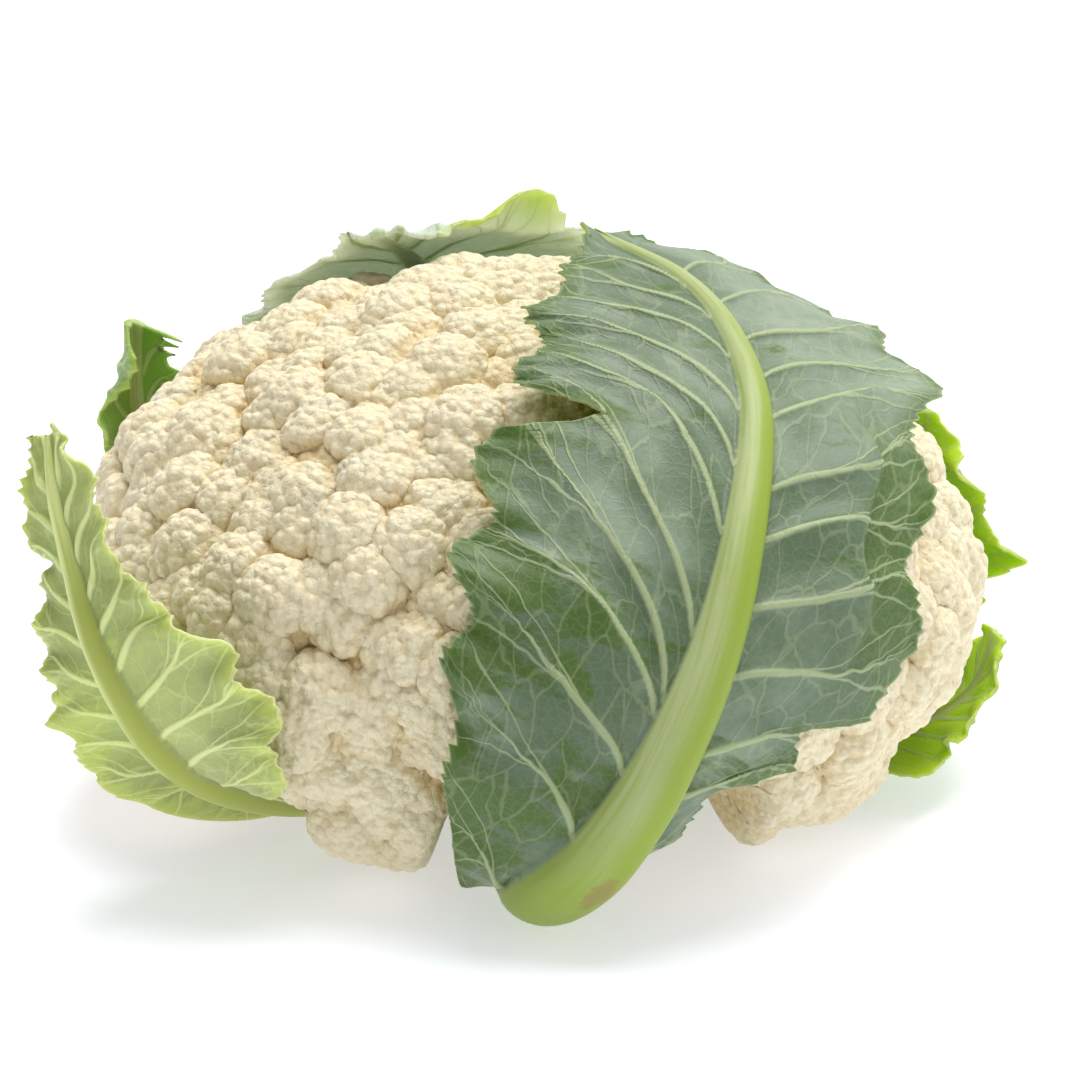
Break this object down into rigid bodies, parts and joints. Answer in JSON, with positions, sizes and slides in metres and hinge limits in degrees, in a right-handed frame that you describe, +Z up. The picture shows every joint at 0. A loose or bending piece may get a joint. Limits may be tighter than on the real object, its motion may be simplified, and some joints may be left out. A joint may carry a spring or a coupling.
{
  "type": "cauliflower",
  "caption": "Whole cauliflower with a cream curd of florets, a trimmed stalk and green wrapper leaves, resting on its cut stalk.",
  "frame": {"origin": "centre of the stalk's flat cut face, which rests on the table", "axes": "+Z up along the stalk, -Y towards the front of the picture, +X to its right"},
  "size_m": [0.1863, 0.204, 0.1082],
  "materials": {
    "curd": "matte, fine-grained, slightly translucent",
    "stalk": "matte, fibrous cut face",
    "leaf_waxy": "waxy bloom over green, pale raised veins",
    "leaf_young": "thin, pale, satin",
    "leaf_green": "satin green, pale raised veins"
  },
  "bodies": {
    "root": {"curd": "curd", "stalk": "stalk", "leaf_front": "leaf_waxy", "leaf_left": "leaf_young", "leaf_back_left": "leaf_green", "leaf_back": "leaf_waxy", "leaf_right_back": "leaf_green", "leaf_right_low": "leaf_green"}
  },
  "joints": []
}
